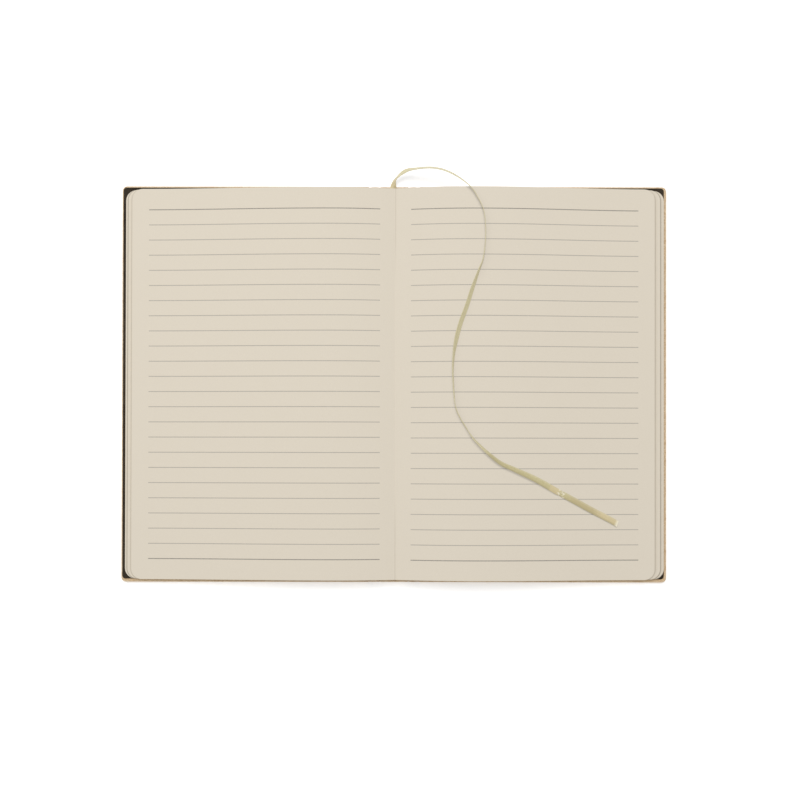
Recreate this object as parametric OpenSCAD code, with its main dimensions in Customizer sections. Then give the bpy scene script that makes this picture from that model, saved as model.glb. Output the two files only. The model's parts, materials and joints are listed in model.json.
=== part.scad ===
/* [Cover] */
// Width of each cover board, from its hinge groove to its fore edge
board_w = 130.2; // [110:0.1:160]
// Height of the boards, head to tail
board_h = 209.4; // [170:0.1:300]
// Thickness of the cover boards
board_t = 2; // [1.4:0.1:3]
// Radius of the boards' outer corners
board_r = 2.2; // [1:0.1:6]
// Thickness of the covering material
covering_t = 0.3; // [0.2:0.05:0.4]
// Width of the covering turned in over the boards' edges
turn_in = 15; // [8:0.5:22]

/* [Spine] */
// Width of the spine strip
spine_w = 14; // [12:0.5:22]
// Thickness of the spine strip
spine_t = 1.2; // [0.8:0.1:2]
// Width of the hinge groove between the spine strip and a board
groove_w = 7; // [5:0.5:10]
// How far the hinge groove is pressed in from the outside
groove_depth = 1; // [0.4:0.1:1.4]
// Thickness of the lining glued on the back of the pages
lining_t = 0.3; // [0.3:0.05:0.6]

/* [Endpapers] */
// Thickness of the dark endpapers
endpaper_t = 0.2; // [0.1:0.05:0.3]
// Rim of bare covering round the pasted endpaper
rim = 0.8; // [0.5:0.1:4]
// Room under the endpaper where it bridges the hinge groove
hinge_play = 0.1; // [0.05:0.05:0.3]

/* [Pages] */
// How far the cover stands past the pages at the head
head_square = 2.5; // [1:0.1:5]
// How far the cover stands past the pages at the tail
tail_square = 1.9; // [1:0.1:5]
// Radius of the pages' rounded corners
page_r = 5.5; // [3:0.5:10]
// How far the opening lies off the middle of the spine
gutter_shift = 0.4; // [0:0.1:1]
// Height of the paper in the gutter, above the back of the pages
gutter_rise = 2.4; // [1.5:0.1:3.5]
// Width by the fore edge over which the pages lie flat on the cover
flat_w = 22; // [14:1:35]

/* [Left pages] */
// Thickness of the left stack of leaves
left_stack = 4; // [3:0.1:5]
// How far the cover stands past the lowest left leaf at the fore edge
left_fore_square = 2.2; // [1:0.1:5]
// How far the top left leaf stops short of the lowest one
left_fan = 4.1; // [2:0.1:6]
// Height of the left hump above the inside of the cover
left_hump = 9.6; // [8:0.1:13]
// Distance of the left hump's crest from the gutter
left_crest = 33; // [24:1:45]
// Height of the hollow under the left hump
left_hollow = 2.9; // [1.5:0.1:3.5]

/* [Right pages] */
// Thickness of the right stack of leaves
right_stack = 4.7; // [3:0.1:5.5]
// How far the cover stands past the lowest right leaf at the fore edge
right_fore_square = 1.2; // [1:0.1:5]
// How far the top right leaf stops short of the lowest one
right_fan = 6.2; // [3:0.1:8]
// Height of the right hump above the inside of the cover
right_hump = 11.5; // [9:0.1:14]
// Distance of the right hump's crest from the gutter
right_crest = 42; // [30:1:50]
// Height of the hollow under the right hump
right_hollow = 3.6; // [1.5:0.1:4]

/* [Bookmark] */
// Width of the ribbon
ribbon_w = 3; // [2:0.1:4]
// Thickness of the ribbon
ribbon_t = 0.5; // [0.3:0.1:0.6]

/* [Hidden] */
$fn = 48;

// How far a cutting shape runs past what it cuts
over = 1;
// Straight pieces in each pressed groove's half, and in a hump's two flanks
groove_steps = 8;
rise_steps = 12;
fall_steps = 14;
// Groups of leaves under the top one that show as ledges: share of the stack, share of the fan
ledges = [[0.3, 0], [0.65, 0.45]];

// Distances from the middle of the spine, along the open cover
hinge_x = spine_w / 2 + groove_w / 2;
board_x = spine_w / 2 + groove_w;
cover_x = board_x + board_w + covering_t;
cover_h = board_h + 2 * covering_t;
window_h = cover_h - 2 * turn_in;
page_h = cover_h - head_square - tail_square;
page_mid = (tail_square - head_square) / 2;

// Heights above the table
board_top = covering_t + board_t;
inside_z = board_top + covering_t + endpaper_t;
leaf_z = inside_z + endpaper_t;
spine_top = 2 * covering_t + spine_t;
back_z = spine_top + lining_t;
gutter_z = back_z + gutter_rise;
hinge_z = 2 * covering_t + max(groove_depth, spine_t) + hinge_play;

function reversed(points) = [for (i = [len(points) - 1:-1:0]) points[i]];

function unit(v) = v / norm(v);

// Distance from the gutter to the fore edge of a side's lowest leaf; side is -1 for left, 1 for right
function lowest_end(side) =
    cover_x - side * gutter_shift - (side < 0 ? left_fore_square : right_fore_square);

// A quarter ellipse up to the crest, then a cosine down to the fore edge
function page_curve(start, start_z, crest, crest_z, rest, rest_z) = concat(
    [for (i = [0:rise_steps])
        let (a = 90 * i / rise_steps)
        [start + (crest - start) * (1 - cos(a)), start_z + (crest_z - start_z) * sin(a)]],
    [for (i = [1:fall_steps])
        let (s = i / fall_steps)
        [crest + (rest - crest) * s, rest_z + (crest_z - rest_z) * (1 + cos(180 * s)) / 2]]
);

// The underside of a side's stack, from the back of the pages to the end given
function underside(stack, crest, hollow, fan, side, end) = concat(
    page_curve(stack, back_z, crest, leaf_z + hollow, lowest_end(side) - fan - flat_w, leaf_z),
    [[end, leaf_z]]
);

// The same line moved squarely outwards by a sheet's thickness
function beneath(line, t) = [for (i = [0:len(line) - 1])
    let (along = i == 0 ? [0, 1] : unit(line[min(i + 1, len(line) - 1)] - line[i - 1]))
    line[i] + t * [along[1], -along[0]]
];

// Height of the groove's outer face, where s runs from 0 at the hinge line to 1 at the groove's edge
function groove_z(s) = groove_depth * (1 + cos(180 * s)) / 2;

module along_y(length) {
    rotate([90, 0, 0])
        linear_extrude(height = length, center = true)
            children();
}

// A child that runs along the head and the tail for the width of the turn-in
module at_head_and_tail() {
    for (end = [-1, 1])
        translate([0, end * (cover_h - turn_in) / 2, 0])
            children();
}

// A shape drawn on the right, left there or mirrored to the left
module on_side(side) {
    mirror([side < 0 ? 1 : 0, 0, 0])
        children();
}

// A stack or a sheet drawn from the gutter towards +X, moved to its place in the cover
module from_gutter(side) {
    translate([gutter_shift, page_mid, 0])
        on_side(side)
            children();
}

// A flat shape with square corners towards the spine and rounded ones at the fore edge
module fore_rounded(x0, x1, h, r) {
    translate([x0, -h / 2])
        square([x1 - x0 - r, h]);
    translate([x0, r - h / 2])
        square([x1 - x0, h - 2 * r]);
    for (end = [-1, 1])
        translate([x1 - r, end * (h / 2 - r)])
            circle(r = r);
}

// Half of the pressed groove, from the hinge line to x1, as layers of covering
module groove_section(x1, layers) {
    line = [for (i = [0:groove_steps])
        let (s = i / groove_steps)
        [hinge_x + (x1 - hinge_x) * s, groove_z(s)]];
    raised = [for (p = reversed(line)) p + [0, layers * covering_t]];
    polygon(concat(line, raised));
}

// One side's stack of leaves, drawn from the gutter towards +X
module stack_of_leaves(stack, crest, hump, hollow, fan, side) {
    low_end = lowest_end(side);
    top_end = low_end - fan;
    top = page_curve(0, gutter_z, crest, inside_z + hump, top_end, leaf_z + stack);
    intersection() {
        along_y(page_h + 2 * over)
            polygon(concat(
                [[0, back_z]],
                underside(stack, crest, hollow, fan, side, top_end),
                reversed(top)
            ));
        linear_extrude(height = inside_z + hump + over)
            fore_rounded(-over, top_end, page_h, page_r);
    }
    for (ledge = ledges)
        translate([0, 0, leaf_z])
            linear_extrude(height = stack * ledge[0])
                fore_rounded(top_end - flat_w / 2, low_end - fan * ledge[1], page_h, page_r);
}

// One free endpaper: hinged over the groove, folded at the pages' back, then under its stack
module flyleaf(stack, crest, hollow, fan, side) {
    low_end = lowest_end(side);
    line = underside(stack, crest, hollow, fan, side, low_end);
    hinge_u = hinge_x - side * gutter_shift;
    color([0.2, 0.18, 0.16])
        from_gutter(side)
            intersection() {
                along_y(page_h + 2 * over)
                    polygon(concat(
                        [[hinge_u, hinge_z], [stack, back_z - endpaper_t]],
                        line,
                        reversed(beneath(line, endpaper_t)),
                        [[hinge_u, hinge_z + endpaper_t]]
                    ));
                linear_extrude(height = leaf_z + hollow + over)
                    fore_rounded(0, low_end, page_h, page_r);
            }
}

module board(side) {
    color([0.55, 0.54, 0.51])
        on_side(side)
            translate([0, 0, covering_t])
                linear_extrude(height = board_t)
                    fore_rounded(board_x, board_x + board_w, board_h, board_r);
}

// The covering of one board: outer sheet, edges, turn-ins and its half of the groove
module covering(side) {
    color([0.76, 0.63, 0.46])
        on_side(side) {
            difference() {
                linear_extrude(height = board_top + covering_t)
                    fore_rounded(board_x, cover_x, cover_h, board_r + covering_t);
                translate([0, 0, covering_t])
                    linear_extrude(height = board_t)
                        fore_rounded(board_x - over, board_x + board_w, board_h, board_r);
                translate([board_x - over, -window_h / 2, covering_t])
                    cube([cover_x - turn_in - board_x + over, window_h, board_t + covering_t + over]);
            }
            along_y(cover_h)
                groove_section(board_x, 1);
            at_head_and_tail()
                along_y(turn_in) {
                    groove_section(board_x, 2);
                    translate([board_x - covering_t, 0])
                        square([covering_t, board_top + covering_t]);
                }
        }
}

// A bent strip of endpaper over the groove, from the hinge line to the board
module hinge_strip(low_z, high_z, fold_x) {
    polygon([
        [hinge_x, hinge_z],
        [fold_x, low_z],
        [board_x + over, low_z],
        [board_x + over, high_z + endpaper_t],
        [fold_x, high_z + endpaper_t],
        [hinge_x, hinge_z + endpaper_t]
    ]);
}

// The pasted endpaper: it dips inside the frame of turn-ins and bridges the groove
module pastedown(side) {
    paper_h = cover_h - 2 * rim;
    dip_h = window_h - 2 * endpaper_t;
    lap_x = board_x - covering_t;
    lapped_z = board_top + covering_t;
    paper_r = max(0.5, board_r + covering_t - rim);
    color([0.2, 0.18, 0.16])
        on_side(side) {
            difference() {
                translate([0, 0, board_top])
                    linear_extrude(height = covering_t + endpaper_t)
                        fore_rounded(board_x, cover_x - rim, paper_h, paper_r);
                translate([0, 0, board_top - over])
                    linear_extrude(height = covering_t + over)
                        difference() {
                            translate([0, -cover_h / 2])
                                square([cover_x, cover_h]);
                            translate([0, -window_h / 2])
                                square([cover_x - turn_in, window_h]);
                        }
                translate([0, -dip_h / 2, board_top + endpaper_t])
                    cube([cover_x - turn_in - endpaper_t, dip_h, covering_t + over]);
            }
            along_y(dip_h)
                hinge_strip(board_top, board_top, board_x);
            for (end = [-1, 1]) {
                translate([0, end * (dip_h + endpaper_t) / 2, 0])
                    along_y(endpaper_t)
                        hinge_strip(board_top, lapped_z, board_x);
                translate([0, end * (paper_h + window_h) / 4, 0])
                    along_y((paper_h - window_h) / 2)
                        hinge_strip(lapped_z, lapped_z, lap_x);
            }
        }
}

// The leaves of both sides, sewn into one block: the pages stay open here
module text_block() {
    color([0.86, 0.83, 0.76]) {
        from_gutter(-1)
            stack_of_leaves(left_stack, left_crest, left_hump, left_hollow, left_fan, -1);
        from_gutter(1)
            stack_of_leaves(right_stack, right_crest, right_hump, right_hollow, right_fan, 1);
    }
}

module front_flyleaf() {
    flyleaf(left_stack, left_crest, left_hollow, left_fan, -1);
}

module back_flyleaf() {
    flyleaf(right_stack, right_crest, right_hollow, right_fan, 1);
}

module spine_lining() {
    color([0.9, 0.88, 0.82])
        translate([gutter_shift - left_stack, page_mid - page_h / 2, spine_top])
            cube([left_stack + right_stack, page_h, lining_t]);
}

module spine_board() {
    color([0.55, 0.54, 0.51])
        translate([-spine_w / 2, -board_h / 2, covering_t])
            cube([spine_w, board_h, spine_t]);
}

// The covering over the spine strip, turned in at head and tail, with half of each groove
module spine_covering() {
    color([0.76, 0.63, 0.46])
        difference() {
            union() {
                translate([-spine_w / 2, -cover_h / 2, 0])
                    cube([spine_w, cover_h, covering_t]);
                at_head_and_tail()
                    translate([-spine_w / 2 - covering_t, -turn_in / 2, 0])
                        cube([spine_w + 2 * covering_t, turn_in, spine_top]);
                for (side = [-1, 1])
                    on_side(side) {
                        along_y(cover_h)
                            groove_section(spine_w / 2, 1);
                        at_head_and_tail()
                            along_y(turn_in)
                                groove_section(spine_w / 2, 2);
                    }
            }
            translate([-spine_w / 2, -board_h / 2, covering_t])
                cube([spine_w, board_h, spine_t]);
        }
}

module front_board() {
    board(-1);
}

module front_covering() {
    covering(-1);
}

module front_pastedown() {
    pastedown(-1);
}

module back_board() {
    board(1);
}

module back_covering() {
    covering(1);
}

module back_pastedown() {
    pastedown(1);
}

// The ribbon's middle line and its turn about that line: x, y, z, and 0 flat to 90 on edge
ribbon_route = [
    [-0.3, 102.5, 3.4, 0],
    [-0.3, 104.6, 3.6, 20],
    [1, 108.6, 4.8, 72],
    [5.5, 112, 7.2, 62],
    [11.5, 112.7, 10.2, 80],
    [18.8, 112.6, 12.8, 90],
    [25.5, 111, 14.8, 90],
    [32.5, 107.5, 15.8, 90],
    [39.4, 102.2, 16.1, 90],
    [43.4, 96.5, 16.1, 90],
    [46.4, 89.8, 16.1, 90],
    [47.4, 82, 16.1, 88],
    [47.4, 74.8, 16.1, 88],
    [46.3, 64.9, 16.1, 84],
    [43.9, 58.2, 16, 76],
    [40.6, 48.9, 15.9, 64],
    [37.5, 40, 15.8, 61],
    [34.1, 31.2, 15.8, 63],
    [31.8, 22.9, 15.8, 74],
    [30.8, 15.1, 15.8, 79],
    [30.6, 6.3, 15.8, 81],
    [31.2, -5.6, 15.9, 85],
    [32.1, -12.9, 15.9, 89],
    [34.3, -18.1, 16, 90],
    [37.4, -23.2, 16, 90],
    [41.2, -28.9, 16, 81],
    [45.4, -33.3, 15.9, 71],
    [50.1, -37.6, 15.8, 61],
    [55.8, -41.9, 15.5, 55],
    [62.6, -45, 15, 49],
    [71.9, -49.2, 14.2, 40],
    [77.9, -52.3, 13.4, 28],
    [83.8, -55.7, 12.4, 12],
    [90.2, -59.1, 11.5, 0],
    [96, -62.2, 10.9, 0],
    [102.4, -65.7, 10.3, 0],
    [108.8, -69, 9.6, 0],
    [113.7, -71.5, 9.2, 0],
    [117.4, -73.6, 8.9, 0]
];
// Corners of the ribbon's section, as shares of half its width and half its thickness
ribbon_section = [
    [1, 0.4],
    [0.85, 1],
    [-0.85, 1],
    [-1, 0.4],
    [-1, -0.4],
    [-0.85, -1],
    [0.85, -1],
    [1, -0.4]
];

module ribbon_bookmark() {
    last = len(ribbon_route) - 1;
    sides = len(ribbon_section);
    middle = [for (p = ribbon_route) [p[0], p[1], p[2]]];
    points = [for (i = [0:last])
        let (along = unit(middle[min(i + 1, last)] - middle[max(i - 1, 0)]))
        let (flat = unit(cross(along, [0, 0, 1])))
        let (upright = cross(flat, along))
        let (turn = ribbon_route[i][3])
        let (wide = (flat * cos(turn) + upright * sin(turn)) * ribbon_w / 2)
        let (thick = (upright * cos(turn) - flat * sin(turn)) * ribbon_t / 2)
        for (c = ribbon_section)
            middle[i] + wide * c[0] + thick * c[1]];
    walls = [for (i = [0:last - 1])
        for (k = [0:sides - 1])
            let (n = (k + 1) % sides)
            [i * sides + k, i * sides + n, (i + 1) * sides + n, (i + 1) * sides + k]];
    start = [for (k = [sides - 1:-1:0]) k];
    end = [for (k = [0:sides - 1]) last * sides + k];
    color([0.8, 0.77, 0.59])
        polyhedron(points, concat([start], walls, [end]));
}

text_block();
front_flyleaf();
back_flyleaf();
spine_lining();
spine_board();
spine_covering();
front_board();
front_covering();
front_pastedown();
back_board();
back_covering();
back_pastedown();
ribbon_bookmark();
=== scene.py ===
# %% [markdown]
# # An open lined notebook
# A hardback notebook lies open near its middle. Two humps of ivory leaves spring from a glued spine,
# a dark endpaper lines the tan cover, and a satin ribbon loops over the head onto the right page.
# The CAD model already holds every size and every place. Here each visible surface is made again
# with its real thickness and finish, round that frame, and nothing of the frame is moved.
#
# The first cell loads the frame.

# %% Load the frame
import json
import math
import random
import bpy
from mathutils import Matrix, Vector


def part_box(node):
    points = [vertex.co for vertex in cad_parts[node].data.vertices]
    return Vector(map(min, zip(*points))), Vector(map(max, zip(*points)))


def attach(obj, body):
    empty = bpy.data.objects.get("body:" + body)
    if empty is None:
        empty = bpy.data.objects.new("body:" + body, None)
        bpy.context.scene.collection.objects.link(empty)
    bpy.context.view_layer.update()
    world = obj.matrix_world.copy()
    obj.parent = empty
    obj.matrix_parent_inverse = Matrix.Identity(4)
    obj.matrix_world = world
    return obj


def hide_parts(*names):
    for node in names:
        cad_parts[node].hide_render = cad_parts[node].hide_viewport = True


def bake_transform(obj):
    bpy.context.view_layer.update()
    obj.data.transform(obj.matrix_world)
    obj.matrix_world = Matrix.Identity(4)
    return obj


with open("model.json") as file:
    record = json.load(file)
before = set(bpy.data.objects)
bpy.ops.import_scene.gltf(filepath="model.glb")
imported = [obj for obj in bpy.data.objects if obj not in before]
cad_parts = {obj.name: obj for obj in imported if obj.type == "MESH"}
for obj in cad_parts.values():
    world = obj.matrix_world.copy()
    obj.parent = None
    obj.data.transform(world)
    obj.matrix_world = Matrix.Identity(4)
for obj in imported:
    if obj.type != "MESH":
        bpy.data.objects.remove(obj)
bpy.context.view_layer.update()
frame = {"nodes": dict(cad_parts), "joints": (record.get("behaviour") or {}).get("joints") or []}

from types import SimpleNamespace

import bmesh
import bpy
from mathutils import Vector

scene = bpy.context.scene
MM = 0.001

# %% [markdown]
# ## Where the eye stands
# The notebook is seen from straight above, from about 0.6 m. What is nearer to the lens looks
# larger, so the humps lean out over the cover's rim and the ruled lines bow a little. A camera
# without perspective would lose both. The lens stands over the lower half of the pages, and a small
# shift of the picture brings the notebook back to its middle, as cropping a photograph does. The
# camera is also turned by a tenth of a degree, and a slight tilt widens the tail by a pixel or two.

# %% Camera
lens_mm = 50.68
sensor_mm = 36.0
camera_place = Vector((3.2, -37.57, 600.0)) * MM
camera_tilt = math.radians(0.4)
camera_turn = math.radians(0.103)
picture_shift = 0.0589

camera_data = bpy.data.cameras.new("overhead_camera")
camera_data.sensor_width = sensor_mm
camera_data.lens = lens_mm
camera_data.shift_y = picture_shift
camera = bpy.data.objects.new("overhead_camera", camera_data)
camera.location = camera_place
camera.rotation_euler = (camera_tilt, 0, camera_turn)
scene.collection.objects.link(camera)
scene.camera = camera
scene.view_settings.view_transform = "Standard"
print("camera", round(camera_place.z / MM), "mm above the table, lens", lens_mm, "mm")

# %% [markdown]
# ## The ribbon's path
# A bookmark ribbon is a limp flat cord, some 3 mm wide, glued in at the head of the spine. It leaves
# the pages there, stands up in an arch beyond the head, crosses back over the right page on its
# edge, turns over slowly and lies down for its last part, with one edge a little off the page. A
# cloth simulation would find some other lie, so its path is a list of given places, each
# with the ribbon's turn about that path. A smooth curve through them is all that it needs.

# %% Ribbon path
# Each place is x, y, z in mm and the turn in degrees, from 0 flat to 90 on edge
ribbon_route = [
    (-0.6, 102.5, 3.4, 0),
    (-0.6, 104.6, 3.6, 24),
    (0.8, 108.6, 4.8, 66),
    (5.5, 112, 7.2, 46),
    (11.5, 112.7, 10.2, 60),
    (18.8, 112.6, 12.8, 62),
    (25.5, 111, 14.8, 63),
    (32.5, 107.5, 15.8, 67),
    (39.4, 102.2, 16.1, 76),
    (43.4, 96.5, 16.1, 80),
    (46.4, 89.8, 16.1, 83),
    (47.4, 82, 16.1, 85),
    (47.4, 74.8, 16.1, 86),
    (46.3, 64.9, 16.1, 84),
    (43.9, 58.2, 16, 74),
    (40.6, 48.9, 15.9, 58),
    (37.8, 40, 15.8, 54),
    (34.6, 31.2, 15.8, 51),
    (32.4, 22.9, 15.8, 54),
    (31.1, 15.1, 15.8, 69),
    (30.6, 6.3, 15.8, 77),
    (31.2, -5.6, 15.9, 81),
    (32.1, -12.9, 15.9, 89),
    (34.3, -18.1, 16, 90),
    (37.4, -23.2, 16, 90),
    (41.2, -28.9, 16, 77),
    (45.4, -33.3, 15.9, 69),
    (50.1, -37.6, 15.8, 59),
    (55.8, -41.9, 15.5, 52),
    (62.6, -45, 15, 43),
    (71.9, -49.2, 14.3, 30),
    (77.9, -52.3, 13.5, 22),
    (83.8, -55.7, 12.6, 19),
    (90.2, -59.1, 11.7, 18),
    (96, -62.2, 11.1, 18),
    (102.4, -65.7, 10.5, 18),
    (108.8, -69, 9.8, 18),
    (113.7, -71.5, 9.4, 18),
    (117.4, -73.6, 9.1, 20),
]
ribbon_step = 0.6


def smooth_between(before, a, b, after, t):
    """The curve from a to b that also leans towards the places before and after them."""
    return tuple(
        0.5 * (2 * q + (r - p) * t + (2 * p - 5 * q + 4 * r - s) * t**2 + (3 * q - p - 3 * r + s) * t**3)
        for p, q, r, s in zip(before, a, b, after)
    )


def smooth_path(places, step):
    """Places about one step apart on a smooth curve through all the given ones."""
    path = []
    for i in range(len(places) - 1):
        before = places[max(i - 1, 0)]
        after = places[min(i + 2, len(places) - 1)]
        a, b = places[i], places[i + 1]
        pieces = max(2, round(math.dist(a[:3], b[:3]) / step))
        path += [smooth_between(before, a, b, after, k / pieces) for k in range(pieces)]
    return path + [places[-1]]


ribbon_path = smooth_path(ribbon_route, ribbon_step)
ribbon_line = [Vector(place[:3]) for place in ribbon_path]
ribbon_length = sum((b - a).length for a, b in zip(ribbon_line, ribbon_line[1:]))
print("ribbon path:", len(ribbon_path), "places,", round(ribbon_length, 1), "mm long")

# %% [markdown]
# ## The ribbon's mesh
# The real ribbon is woven with two firm edges, so its section is a thin flat bar that is a shade
# thicker at both edges. The section is carried along the path, turned as each place says. A curve
# with a bevel could do it too, but a mesh can also carry two measures on every point, how far along
# and how far across it lies, and the weave is drawn from those, so that it follows each twist.
# The loose end is cut almost square, and a small crease crosses the part that lies down. Two
# helpers come first, since every later piece needs them too.

# %% Mesh helpers


def new_piece(name, points, faces, sharp_degrees=35):
    """A mesh object from points and faces in metres, smooth wherever it bends less than the given angle."""
    mesh = bpy.data.meshes.new(name)
    mesh.from_pydata(points, [], faces)
    mesh.shade_smooth()
    mesh.set_sharp_from_angle(angle=math.radians(sharp_degrees))
    piece = bpy.data.objects.new(name, mesh)
    scene.collection.objects.link(piece)
    return piece


def keep_values(piece, name, values):
    """Stores one number on each point of a piece, for its finish to read."""
    layer = piece.data.attributes.new(name, "FLOAT", "POINT")
    layer.data.foreach_set("value", values)


print("mesh helpers ready")

# %% Ribbon mesh
# In mm: the section, the crease's place along the ribbon and its reach, and the reach of the slant
ribbon_w = 3.4
ribbon_t = 0.3
crease_at = 244.5
crease_w = 1.4
slant_reach = 4
# The cut's slant as a share of the width, and how the crease turns (in degrees) and narrows
slant = 0.2
crease_turn = 24
crease_pinch = 0.14
# One face of the section, as shares of half the width and half the thickness
upper_face = [(1.0, 0.35), (0.97, 0.85), (0.9, 1.0), (0.8, 0.7), (0.3, 0.55),
              (-0.3, 0.55), (-0.8, 0.7), (-0.9, 1.0), (-0.97, 0.85), (-1.0, 0.35)]
section = upper_face + [(w, -t) for w, t in reversed(upper_face)]


def ribbon_mesh():
    """The section carried along the path, with both measures on its points."""
    points, along_values, across_values = [], [], []
    travelled = 0.0
    last = len(ribbon_line) - 1
    for i, middle in enumerate(ribbon_line):
        travelled += (middle - ribbon_line[max(i - 1, 0)]).length
        along = (ribbon_line[min(i + 1, last)] - ribbon_line[max(i - 1, 0)]).normalized()
        flat = along.cross(Vector((0, 0, 1))).normalized()
        upright = flat.cross(along)
        crease = math.exp(-(((travelled - crease_at) / crease_w) ** 2))
        turn = math.radians(ribbon_path[i][3] - crease_turn * crease)
        wide = (flat * math.cos(turn) + upright * math.sin(turn)) * (1 - crease_pinch * crease)
        thick = upright * math.cos(turn) - flat * math.sin(turn)
        near_end = max(0.0, 1 - (ribbon_length - travelled) / slant_reach)
        for w, t in section:
            pushed = w * slant * near_end
            corner = middle + wide * (w * ribbon_w / 2) + thick * (t * ribbon_t / 2) + along * pushed
            points.append(corner * MM)
            along_values.append((travelled + pushed) * MM)
            across_values.append(w * ribbon_w / 2 * MM)
    sides = len(section)
    faces = [
        (i * sides + k, (i + 1) * sides + k, (i + 1) * sides + (k + 1) % sides, i * sides + (k + 1) % sides)
        for i in range(last)
        for k in range(sides)
    ]
    faces.append(tuple(range(sides)))
    faces.append(tuple(last * sides + k for k in range(sides - 1, -1, -1)))
    piece = new_piece("ribbon", points, faces, sharp_degrees=60)
    keep_values(piece, "along", along_values)
    keep_values(piece, "across", across_values)
    return piece


ribbon = ribbon_mesh()
# The real ribbon draws no dark halo on the page, so it takes no part in the light that matt
# surfaces throw on each other
ribbon.visible_diffuse = False
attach(ribbon, "book_block")
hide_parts("ribbon_bookmark")
print("ribbon mesh:", len(ribbon.data.polygons), "faces")

# %% [markdown]
# ## Tools for finishes
# Every finish here is built from noise, ripples and small cells of colour, worked out where the
# surface is, so nothing blurs close up. Colours are matched to the photo's own values, which are
# counted from 0 to 255 and have to be turned into light before a shader can use them. The helpers
# below keep each finish short: add makes a node and fills its sockets, with plain values or with
# the outputs of other nodes, and start_finish makes a material.

# %% Finish helpers


def light(red, green, blue):
    """A photo colour, 0 to 255 a channel, as the shader's linear light."""
    shares = [channel / 255 for channel in (red, green, blue)]
    linear = [s / 12.92 if s <= 0.04045 else ((s + 0.055) / 1.055) ** 2.4 for s in shares]
    return (*linear, 1.0)


def plug(tree, socket, value):
    """Puts a plain value or another node's output into a socket."""
    if isinstance(value, bpy.types.NodeSocket):
        tree.links.new(value, socket)
    else:
        socket.default_value = value


def add(tree, kind, settings=None, **sockets):
    """A new shader node. Settings are its own options, and the keywords are its sockets by name."""
    node = tree.nodes.new("ShaderNode" + kind)
    for name, value in (settings or {}).items():
        setattr(node, name, value)
    for name, value in sockets.items():
        plug(tree, node.inputs[name.replace("_", " ")], value)
    return node


def reckon(tree, operation, *values):
    """One step of arithmetic on numbers."""
    node = add(tree, "Math", {"operation": operation})
    for socket, value in zip(node.inputs, values):
        plug(tree, socket, value)
    return node.outputs[0]


def blended(tree, share, colour_a, colour_b):
    """A colour between two others, by a share from 0 to 1."""
    node = add(tree, "Mix", {"data_type": "RGBA"})
    plug(tree, node.inputs[0], share)
    plug(tree, node.inputs[6], colour_a)
    plug(tree, node.inputs[7], colour_b)
    return node.outputs[2]


def laid_over(tree, body, colour, share, strength):
    """A body colour with another laid over it, by a share from 0 to 1 times a strength."""
    return blended(tree, reckon(tree, "MULTIPLY", share, strength), body, colour)


def spread(tree, value, low, high):
    """A number between low and high as a share from 0 to 1, cut off beyond them."""
    return add(tree, "MapRange", Value=value, From_Min=low, From_Max=high).outputs["Result"]


def noise(tree, place, size_mm, detail=3.0):
    """Cloudy noise from 0 to 1 whose patches are about the given size."""
    return add(tree, "TexNoise", Vector=place, Scale=1 / (size_mm * MM), Detail=detail).outputs["Fac"]


def ripple(tree, value, period_mm):
    """A wave from 0 to 1 that repeats along a measure in metres."""
    turns = reckon(tree, "MULTIPLY", value, 2 * math.pi / (period_mm * MM))
    return reckon(tree, "MULTIPLY_ADD", reckon(tree, "SINE", turns), 0.5, 0.5)


def measure(tree, name):
    """A number stored on the points of a piece."""
    return add(tree, "Attribute", {"attribute_name": name}).outputs["Fac"]


def start_finish(name, roughness, specular=0.3):
    """A new material, with its node tree and its shader."""
    material = bpy.data.materials.new(name)
    material.use_nodes = True
    tree = material.node_tree
    shader = tree.nodes["Principled BSDF"]
    shader.inputs["Roughness"].default_value = roughness
    shader.inputs["Specular IOR Level"].default_value = specular
    return material, tree, shader


def raise_surface(tree, shader, height, depth_mm, strength=1.0):
    """Lets a height from 0 to 1 stand that far off the surface."""
    bump = add(tree, "Bump", Height=height, Strength=strength, Distance=depth_mm * MM)
    plug(tree, shader.inputs["Normal"], bump.outputs["Normal"])


print("helpers ready")

# %% [markdown]
# ## Satin
# Satin is woven so that most of its threads run along the ribbon and catch the light together. Fine
# ribs cross it about four to the millimetre, and its two edges are tighter and a little darker.
# A picture of cloth would stretch at the twists. The ripples here read the two measures on the
# mesh, along and across, so the weave bends with the ribbon, and the ribs' colour runs from deep to
# bright as a painted sheen. The measure along it also sets the colour: before the ribbon lies down
# on the page it is painted paler, to make up for the light it misses where it stands up and turns,
# and from there it is darker, then brown, then faded to peach near the loose end, and peach again
# where it leaves the spine and just before the crease. The part that lies down has a painted shade
# along its lower edge and a painted light along its upper edge, the crease's specks are painted
# highlights, and the frayed end is palest, partly from its loose threads and partly as a painted
# highlight.

# %% Satin finish
# The weave in mm
rib_mm = 0.26
thread_mm = 0.12
satin_bright = light(226, 217, 178)
satin_deep = light(196, 186, 143)
lying_bright = light(209, 199, 155)
lying_deep = light(176, 165, 118)
satin_brown = light(186, 169, 128)
satin_peach = light(217, 197, 156)
satin_shaded = light(160, 149, 114)
# Pale satin for the painted light and highlights, and for the frayed end
satin_fray_and_highlight = light(236, 228, 204)
# In mm along the ribbon: where its painted paleness ends and it turns darker, brown and peach, where
# the exit's peach fades out, how far before the crease its own peach lies, and where the cut end
# frays and pales
lying_from, brown_from, peach_from = 200, 250, 266
exit_from, exit_to = 5, 10
before_crease = 4
frayed_from, frayed_full = 1.8, 0.4


def spread_along(tree, along, wander, start):
    """A share that rises over a few millimetres of the ribbon's length, with an uneven front."""
    uneven = reckon(tree, "MULTIPLY_ADD", wander, 3 * MM, along)
    return spread(tree, uneven, (start - 1) * MM, (start + 4) * MM)


def window(tree, along, middle, reach):
    """A share that is 1 round one place along the ribbon and fades out a millimetre further on."""
    away = reckon(tree, "ABSOLUTE", reckon(tree, "SUBTRACT", along, middle * MM))
    return spread(tree, away, (reach + 1) * MM, reach * MM)


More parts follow.
